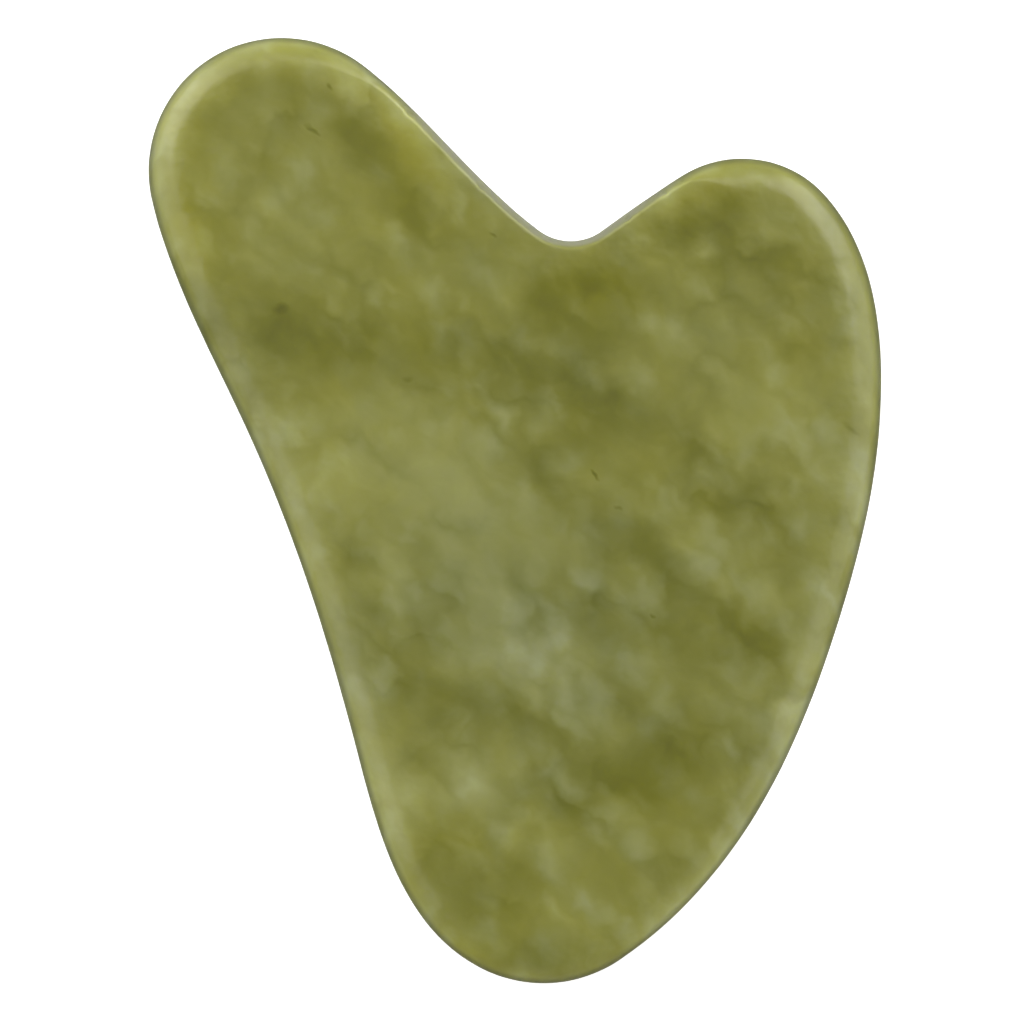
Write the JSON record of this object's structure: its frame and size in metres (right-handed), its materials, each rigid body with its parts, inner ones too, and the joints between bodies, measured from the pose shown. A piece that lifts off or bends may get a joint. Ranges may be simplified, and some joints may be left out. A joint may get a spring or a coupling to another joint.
{
  "type": "gua sha scraper",
  "caption": "Heart-shaped flat jade plate with a narrow lobe, a broad lobe and a rounded tip, for scraping and massaging the skin by hand.",
  "frame": {"origin": "on the lower face, under the middle of the plate's length and width", "axes": "+Y from the tip towards the lobes, along the plate's length; +Z out of the upper face, through the plate's thickness; +X towards the broad lobe"},
  "size_m": [0.062, 0.08, 0.006],
  "materials": {
    "jade": "polished"
  },
  "bodies": {
    "root": {"jade_plate": "jade"}
  },
  "joints": []
}
